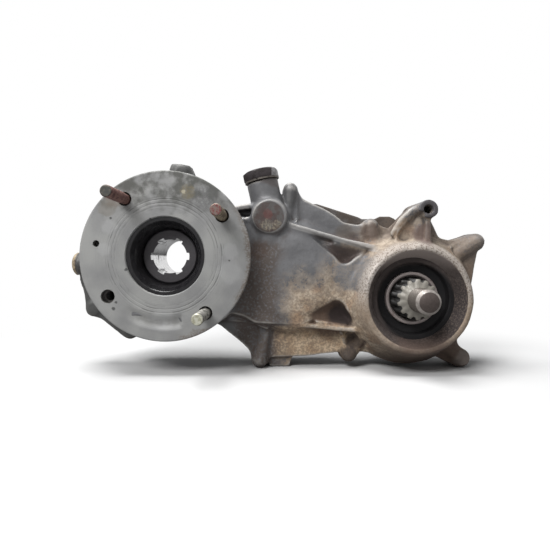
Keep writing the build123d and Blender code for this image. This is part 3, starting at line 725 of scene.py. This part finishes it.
# Size of the casting's voxels in mm, and the shares of broad smoothing that fill corners and wear edges
VOXEL = 0.85
CORNER_SHARE = 1.15
EDGE_SHARE = 0.3
# The movement in mm at which a corner is all hollow and an edge all crest
FULL_HOLLOW = 1.1
FULL_CREST = 0.9
# The sand-cast skin: height in mm, size in mm, seed
SKIN = ((0.3, 12, 3.1), (0.11, 3.4, 7.7))


def cast_piece(name, node, extra, held, shape=None, sink=None):
    """The casting of a CAD node: filled corners, worn edges and a sand-cast skin; machined faces stay."""
    piece = linked(name, welded(node))
    if shape is not None:
        applied(piece, "REMESH", mode="VOXEL", voxel_size=VOXEL * MM, adaptivity=0.0)
        points = points_of(piece.data)
        shape(points, normals_of(piece.data))
        set_points(piece.data, points)
    # the added forms come first, because each takes longer in a larger mesh
    work = bmesh.new()
    extra(work)
    work.from_mesh(piece.data)
    work.to_mesh(piece.data)
    work.free()
    applied(piece, "REMESH", mode="VOXEL", voxel_size=VOXEL * MM, adaptivity=0.0)
    mesh = piece.data
    edges = edges_of(mesh)
    start = points_of(mesh)
    free = 1 - held(start)
    normals = normals_of(mesh)
    broad = smoothed(start, edges, 26, free)
    shift = np.einsum("ij,ij->i", broad - start, normals)
    shift = spread(shift, edges, 4)
    filled = np.where(shift > 0, CORNER_SHARE, EDGE_SHARE) * shift
    points = start + normals * (filled * free)[:, None]
    points = smoothed(points, edges, 6, free)
    set_points(mesh, points)
    normals = normals_of(mesh)
    skin = sum(height * rough_noise(points, size, seed) for height, size, seed in SKIN)
    points = points + normals * (skin * free)[:, None]
    if sink is not None:
        points = points - normals * sink(points)[:, None]
    set_points(mesh, points)
    store(mesh, "hollow", np.clip(shift / FULL_HOLLOW, 0, 1))
    store(mesh, "crest", np.clip(-shift / FULL_CREST, 0, 1) * free)
    shade(mesh, 50)
    mesh.materials.append(FINISHES["case_casting"])
    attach(piece, "case")
    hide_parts(node)


# The camera, at the photograph's angle; the picture is taken to be square
PICTURE = 550
SENSOR = 36
camera = linked("camera", bpy.data.cameras.new("camera"))
camera.location = (0.0931, -0.4, -0.0053)
camera.rotation_euler = (math.radians(90), 0, 0)
camera.data.sensor_width = SENSOR
camera.data.lens = SENSOR / (2 * 0.6085)
camera.data.shift_x = 5 / PICTURE
camera.data.shift_y = -13 / PICTURE
camera.data.clip_start = 0.01
bpy.context.scene.camera = camera


def front_extra(work):
    """Round forms that stand out from the front casting."""
    # rim of the upper wall, from the filler boss to the snout
    bead(work, [(x, 24 - 0.02 * (x - RIM[0][0]), z) for x, z in RIM], 1.7)
    # edge of the shelf under the body, and the lip that leads from it to the neck
    shelf = [(104, 28.5, -65.6), (124, 26.5, -65.2), (150, 25.5, -67.4), (172, 25.5, -69.6), (186, 25, -70)]
    bead(work, shelf, 2.4)
    bead(work, LIP, 2.0)
    # round arms from the blind ears to the body
    for ear, start_r, end, end_r, depth in (
        ((83.2, -99.4), 7.8, (91, -67), 4.2, 38), ((169.3, -94.5), 7.5, (182, -79), 6, 38),
        ((277.8, -98.4), 8.8, (254, -77), 9, 40), ((292.8, 14), 7.8, (266, -3), 7, 38),
        ((190.9, 29), 7.4, (194, 12), 9.5, 38), ((112.9, 64.2), 7, (111, 42), 4.5, 37),
    ):
        capsule(work, (ear[0], depth, ear[1]), (end[0], depth, end[1]), start_r, end_r)
    bead(work, [(111, 35, 46), (110.5, 33.5, 32)], 2.4)
    # the rim of the long boss's web
    bead(work, [(208, 23, 21), (210, 20.5, 25), (214.5, 19, 33), (223.5, 18.5, 42), (233, 18, 47)], 3.2)
    # the filler boss's front, before its round recess is taken out
    closed_cylinder(work, FILLER_PAD, 14.2, 16.2, 22)


def front_shape(points, normals):
    """Hollows the casting's valleys, webs and filler boss, and flares its snout."""
    x, z = points[:, 0].copy(), points[:, 2].copy()
    plateau = 23.0
    skin = (normals[:, 1] < 0.2) & (points[:, 1] < 40)

    # the upper valley, under the rim
    under_rim = z - np.interp(x, [p[0] for p in RIM], [p[1] for p in RIM]) + 2.4
    level = np.maximum(bar_edge(points, (168, 4), (168, -8), 18, 12), under_rim)
    hollowed(points, level, plateau, 1, skin)
    left_arm = bar_edge(points, (166, 2.5), (143, 12.5), 11, 3)
    right_arm = bar_edge(points, (166, 2.5), (190, 6), 11, 2)
    floor = plateau - 1 + 0.62 * np.clip(-0.24 * (x - 163) - 0.97 * (z - 13), 0, 18)
    hollowed(points, np.maximum(np.minimum(left_arm, right_arm), under_rim), floor, 4.5, skin)

    # the lower valley, over the shelf
    over_shelf = -63.0 - 0.04 * (x - 140) - z
    level = np.maximum(bar_edge(points, (158, -52), (148, -56), 16, 14), over_shelf)
    hollowed(points, level, plateau, 1, skin)
    left_arm = bar_edge(points, (157, -52), (130, -56), 12, 5)
    right_arm = bar_edge(points, (157, -52), (166, -58), 12, 8)
    floor = plateau + 0.33 * np.clip(0.906 * (x - 124) - 0.42 * (z + 50), 0, 40)
    hollowed(points, np.maximum(np.minimum(left_arm, right_arm), over_shelf), floor, 6, skin)

    # the long boss's web, the space below the lip, and the flat ribs that round arms replace
    hollowed(points, bar_edge(points, (218, 14), (230, 37), 7.5, 3.5), 22.0, 4)
    lip = np.interp(x, [p[0] for p in LIP[::-1]], [p[2] for p in LIP[::-1]])
    below = np.maximum(z - lip + 1.5, np.maximum(78 - away(points, INPUT), x - 92))
    hollowed(points, below, 35.0, 1.5)
    rib_floor = 35.5
    for start, end, radius in (
        ((83.2, -97), (87, -72), 6), ((167, -90), (162, -78), 4), ((172, -92), (183, -82), 4.5),
        ((276, -96), (262, -84), 9), ((290, 12.5), (274, 5), 9), ((191, 27), (192.5, 20), 9),
    ):
        hollowed(points, bar_edge(points, start, end, radius, radius), rib_floor, 1.5)
    from_pad = away(points, FILLER_PAD)
    beside_boss = np.maximum(bar_edge(points, (113, 62), (113, 41), 8.5, 8.5), 18.5 - from_pad)
    hollowed(points, beside_boss, rib_floor, 1.5)
    hollowed(points, from_pad - 13.6, 19.4 - 0.29 * (z - FILLER_PAD[1]), 1.2)

    # the snout widens behind its mouth
    reach = away(points, OUTPUT)
    wider = np.interp(points[:, 1], [0, 3, 8, 14, 21, 28, 34, 41], [0.2, 1.6, 3.2, 4.0, 4.0, 2.4, 1.0, 0])
    wider *= ramp(reach, 45.0, 46.8) * (1 - ramp(reach, 60, 84)) / np.maximum(reach, 1)
    points[:, 0] += (x - OUTPUT[0]) * wider
    points[:, 2] += (z - OUTPUT[1]) * wider


def held_by(masks):
    """How firmly each point is held, from 0 to 1, as the most that any mask asks."""
    return np.clip(np.maximum.reduce(masks), 0, 1)


def front_held(points):
    """The front casting's machined faces, bores and holes, and its filler tube."""
    y = points[:, 1]
    from_boss = away(points, LONG_BOSS)
    masks = [
        1 - ramp(away(points, INPUT), 45, 47),
        (1 - ramp(y, 12.5, 15)) * (away(points, INPUT) < 80),
        ramp(y, SPLIT - 3, SPLIT - 1),
        (1 - ramp(away(points, IDLER), 32, 34)) * (y > 25),
        (1 - ramp(away(points, OUTPUT), 44.2, 45.5)) * (y > 0.8),
        (from_boss < 9.6) * (1 - ramp(y, 8.6, 10)),
        (1 - ramp(from_boss, 4.8, 5.8)) * (y < 32),
    ]
    masks += [(1 - ramp(away(points, ear), 4.6, 5.6)) * (y > 38) for ear in EARS]
    right, rise = points[:, 0] - FILLER_TUBE[0], points[:, 2] - FILLER_TUBE[1]
    up = right * math.sin(FILLER_LEAN) + rise * math.cos(FILLER_LEAN)
    side = right * math.cos(FILLER_LEAN) - rise * math.sin(FILLER_LEAN)
    off_axis = np.hypot(side, y - 36)
    masks.append(ramp(up, 11.5, 12.6) * (off_axis < 16))
    masks.append((1 - ramp(off_axis, 12.3, 13.2)) * (up > -42))
    from_level_plug = np.hypot(y - 40, points[:, 2] + 7)
    masks.append((points[:, 0] < -89.5) * 1.0)
    masks.append((1 - ramp(from_level_plug, 7.4, 8.4)) * (points[:, 0] < -60))
    return held_by(masks)


def front_sink(points):
    """The input flange's disc is a piece of its own, so the casting steps back behind it."""
    near = (away(points, INPUT) < 78.5) & (points[:, 1] < 13)
    return 0.9 * near * (1 - ramp(points[:, 1], 11, 13))


def rear_extra(work):
    """Short round ribs beside two of the bearing housings."""
    for centre, radius in ((INPUT, 56), (IDLER, 60)):
        for degrees in (25, 200):
            x, z = polar(46, math.radians(degrees), centre)
            end_x, end_z = polar(radius, math.radians(degrees), centre)
            capsule(work, (x, 75, z), (end_x, 73.5, end_z), 2.4, 2.4)


def rear_held(points):
    """The rear casting's bores and holes, and its face at the split."""
    y = points[:, 1]
    from_drain = away(points, DRAIN_HOLE)
    masks = [
        1 - ramp(away(points, INPUT), 41.5, 43),
        (1 - ramp(away(points, INPUT), 45, 46.5)) * (y > 86),
        1 - ramp(y, SPLIT + 2, SPLIT + 4),
        (1 - ramp(away(points, IDLER), 32, 33)) * (y < 84),
        (1 - ramp(away(points, OUTPUT), 37, 38)) * (y < 85),
        (1 - ramp(from_drain, 12.2, 13.6)) * (y > 77),
        1 - ramp(from_drain, 8.4, 9.4),
    ]
    masks += [1 - ramp(away(points, ear), 4.9, 5.9) for ear in EARS]
    return held_by(masks)


cast_piece("front_case_cast", "front_case", front_extra, front_held, front_shape, front_sink)
cast_piece("rear_case_cast", "rear_case", rear_extra, rear_held)


def ring_grid(radii, depths, segments, dent):
    """A lathed ring about the input shaft, closed on itself, with a dent in its face."""
    angles = np.arange(segments) * 2 * math.pi / segments
    radius = np.array(radii)[:, None]
    x = radius * np.cos(angles)
    z = radius * np.sin(angles)
    y = np.repeat(np.array(depths, float)[:, None], segments, 1)
    face = y < 0.01
    y = y + np.where(face, dent(x, z), 0)
    vertices = np.stack([x, y, z], 2).reshape(-1, 3) * MM
    faces = []
    rows = len(radii)
    for i in range(rows):
        this, following = i * segments, (i + 1) % rows * segments
        for j in range(segments):
            k = (j + 1) % segments
            faces.append((this + j, following + j, following + k, this + k))
    mesh = bpy.data.meshes.new("ring")
    mesh.from_pydata(vertices.tolist(), [], faces)
    mesh.update()
    return mesh


def flange_hollow(x, z):
    """The flange face's shallow oblong hollow, soft all round but for its right end."""
    across = np.abs(np.hypot(x, z) - 59.5)
    return (1 - ramp(across, 0.5, 7.5)) * ramp(x, -37, -24) * (1 - ramp(x, 14, 15)) * (z < 0)


def face_dent(x, z):
    """Depth of the flange's hollow, of its fine turning marks and of four deeper ones."""
    radius = np.hypot(x, z)
    depth = 1.5 * flange_hollow(x, z) + 0.02 * np.sin(radius * 2 * math.pi / 1.35)
    for at, width, deep in ((44.2, 0.5, 0.06), (47.3, 0.45, 0.14), (50.6, 0.45, 0.16), (52.4, 0.4, 0.06)):
        depth += deep * np.exp(-((radius - at) / width) ** 2)
    return depth


def input_disc():
    """The input flange's machined disc, with its tapped holes and locating hole."""
    bore, outside, back = 35.0, 76.0, 12.0
    fine = [35.9 + 0.42 * i for i in range(94)]
    radii = [bore, bore, 35.25] + fine + [75.3, outside, outside, 75.6, 74.5, 70.0, bore]
    depths = [6.0, 1.0, 0.55] + [0.0] * len(fine) + [0.1, 0.8, 10.4, 11.4, back, back, back]
    disc = linked("input_flange_disc", ring_grid(radii, depths, 288, face_dent))
    work = bmesh.new()
    for centre, thread_radius in [(stud, 5.1) for stud in STUDS] + [(EMPTY_HOLE, 4.25)]:
        closed_cylinder(work, centre, 6.25, -1, 8)
        closed_cylinder(work, centre, thread_radius, 7.5, 13)
    closed_cylinder(work, LOCATING_HOLE, 3.0, -1, 9)
    cutter_mesh = bpy.data.meshes.new("cutter")
    work.to_mesh(cutter_mesh)
    work.free()
    cutter = linked("cutter", cutter_mesh)
    applied(disc, "BOOLEAN", operation="DIFFERENCE", object=cutter, solver="EXACT", use_self=True)
    bpy.data.objects.remove(cutter)
    mesh = disc.data
    points = points_of(mesh)
    store(mesh, "hollow", flange_hollow(points[:, 0], points[:, 2]) * (points[:, 1] < 3))
    shade(mesh, 40)
    mesh.materials.clear()
    mesh.materials.append(FLANGE)
    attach(disc, "case")
    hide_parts("front_case")


input_disc()


def turned_bar(work, centre, rows, material):
    """A closed bar along Y, from rows of a depth and one radius per segment, in mm."""
    rings = []
    for y, radii in rows:
        ring = []
        for j, radius in enumerate(radii):
            x, z = polar(radius, 2 * math.pi * j / len(radii), centre)
            ring.append(work.verts.new(Vector((x, y, z)) * MM))
        rings.append(ring)
    faces = []
    for first, second in zip(rings, rings[1:]):
        for j in range(len(first)):
            k = (j + 1) % len(first)
            faces.append(work.faces.new((first[j], first[k], second[k], second[j])))
    faces.append(work.faces.new(list(reversed(rings[0]))))
    faces.append(work.faces.new(rings[-1]))
    for face in faces:
        face.material_index = material


def threaded_bar(work, centre, front, back, major, depth, pitch, chamfer, material, segments):
    """A closed bar along Y with a helical thread and chamfered ends, in mm."""
    rows_per_turn = 8
    groove_width = 0.85
    back_chamfer = 1.2
    steps = int((back - front) / pitch * rows_per_turn)
    rows = []
    for i in range(steps + 1):
        y = front + (back - front) * i / steps
        limit = min(major, major - chamfer + (y - front), major - back_chamfer + (back - y))
        radii = []
        for j in range(segments):
            phase = ((y - front) / pitch + j / segments) % 1.0
            groove = max(0.0, 1 - abs(phase - 0.5) * 2 / groove_width)
            radii.append(min(limit, major - depth * groove))
        rows.append((y, radii))
    turned_bar(work, centre, rows, material)


def input_studs():
    """Three threaded studs, each with a plain part in the flange's hole and its own dirt."""
    segments = 40
    plain_part = [(4.0, -8.4), (4.5, -7.6), (4.5, 8), (5.0, 8.6), (5.0, 23), (4.2, 23.8)]
    work = bmesh.new()
    for index, centre in enumerate(STUDS):
        threaded_bar(work, centre, STUD_END, -8, 5.0, 0.62, 1.25, 0.9, index, segments)
        turned_bar(work, centre, [(y, [radius] * segments) for radius, y in plain_part], index)
    bmesh.ops.recalc_face_normals(work, faces=work.faces)
    mesh = bpy.data.meshes.new("studs")
    work.to_mesh(mesh)
    work.free()
    shade(mesh, 42)
    for finish in STUD_FINISHES:
        mesh.materials.append(finish)
    new_piece("input_studs_threaded", mesh, "case", "input_studs")


def output_shaft():
    """The CAD shaft with its plain nose taken off and a threaded one in its place."""
    mesh = welded("output_shaft")
    work = bmesh.new()
    work.from_mesh(mesh)
    nose = [v for v in work.verts if v.co.y < -2.4 * MM]
    bmesh.ops.delete(work, geom=nose, context="VERTS")
    rim = [e for e in work.edges if e.is_boundary]
    bmesh.ops.holes_fill(work, edges=rim, sides=0)
    threaded_bar(work, OUTPUT, SHAFT_END, -2.0, 11.0, 0.95, 1.8, 2.8, 0, 56)
    bmesh.ops.recalc_face_normals(work, faces=work.faces)
    work.to_mesh(mesh)
    work.free()
    shade(mesh, 38)
    mesh.materials.append(FINISHES["shaft_steel"])
    new_piece("output_shaft_threaded", mesh, "output", "output_shaft")


input_studs()
output_shaft()


def softened(node, body, width, finish):
    """A rigid piece whose edges are broken by a small bevel."""
    piece = new_piece(node + "_softened", welded(node), body, node)
    applied(piece, "BEVEL", width=width * MM, segments=2, limit_method="ANGLE", angle_limit=math.radians(35))
    shade(piece.data, 40)
    piece.data.materials.clear()
    piece.data.materials.append(finish)


softened("filler_plug", "case", 0.7, cap_material())
softened("level_plug", "case", 0.4, FINISHES["plug_brass"])
softened("drain_plug", "case", 0.4, FINISHES["plug_steel"])
softened("case_bolts", "case", 0.25, FINISHES["bolt_steel"])
softened("output_sleeve", "output", 0.3, SLEEVE)


def white_world():
    """White where it is seen, also in reflections, and a weak cool light on the part."""
    world = bpy.data.worlds.new("studio")
    bpy.context.scene.world = world
    world.use_nodes = True
    tree = world.node_tree
    tree.nodes.clear()
    out = tree.nodes.new("ShaderNodeOutputWorld")
    mixer = tree.nodes.new("ShaderNodeMixShader")
    for socket, colour, strength in ((1, (0.96, 0.98, 1.0, 1), 0.18), (2, (1, 1, 1, 1), 1.0)):
        background = tree.nodes.new("ShaderNodeBackground")
        background.inputs["Color"].default_value = colour
        background.inputs["Strength"].default_value = strength
        tree.links.new(background.outputs[0], mixer.inputs[socket])
    path = tree.nodes.new("ShaderNodeLightPath")
    shown = path.outputs["Is Camera Ray"]
    for ray in ("Is Transmission Ray", "Is Glossy Ray"):
        either = tree.nodes.new("ShaderNodeMath")
        either.operation = "MAXIMUM"
        tree.links.new(shown, either.inputs[0])
        tree.links.new(path.outputs[ray], either.inputs[1])
        shown = either.outputs[0]
    tree.links.new(shown, mixer.inputs[0])
    tree.links.new(mixer.outputs[0], out.inputs[0])


def lamp(name, place, size, power):
    """A soft area light that looks at the part."""
    light = bpy.data.lights.new(name, "AREA")
    light.shape = "RECTANGLE"
    light.size, light.size_y = size
    light.energy = power
    holder = linked(name, light)
    holder.location = place
    target = Vector((0.1, 0.0, 0.0))
    holder.rotation_euler = (target - Vector(place)).to_track_quat("-Z", "Y").to_euler()


def studio_floor():
    """A pale floor that fades to white away from the part."""
    mesh = bpy.data.meshes.new("floor")
    half, level = 6.0, -0.1078
    corners = [(-half, -half, level), (half, -half, level), (half, half, level), (-half, half, level)]
    mesh.from_pydata(corners, [], [(0, 1, 2, 3)])
    floor = linked("floor", mesh)
    s = Shader("floor_white")
    path = s.tree.nodes.new("ShaderNodeLightPath")
    s.tree.nodes.remove(s.surface)
    plain = s.tree.nodes.new("ShaderNodeBsdfDiffuse")
    glow = s.tree.nodes.new("ShaderNodeEmission")
    mixer = s.tree.nodes.new("ShaderNodeMixShader")
    seen = path.outputs["Is Camera Ray"]
    s.put(plain.inputs["Color"], s.mix(seen, (0.35, 0.35, 0.35), (0.72, 0.72, 0.72)))
    dx, dy = s.minus(s.x, 100), s.minus(s.y, 10)
    away_from_part = s.math("SQRT", s.add(s.times(dx, dx), s.times(dy, dy)))
    s.put(mixer.inputs[0], s.times(s.step(away_from_part, 230, 430), seen))
    s.tree.links.new(plain.outputs[0], mixer.inputs[1])
    s.tree.links.new(glow.outputs[0], mixer.inputs[2])
    s.tree.links.new(mixer.outputs[0], s.out.inputs[0])
    mesh.materials.append(s.material)


white_world()
lamp("overhead", (-0.15, -0.1, 1.1), (0.7, 0.6), 17.0)
lamp("front_key", (-0.7, -1.15, 1.1), (0.6, 0.6), 21.0)
studio_floor()

bpy.context.scene.view_settings.view_transform = "Standard"
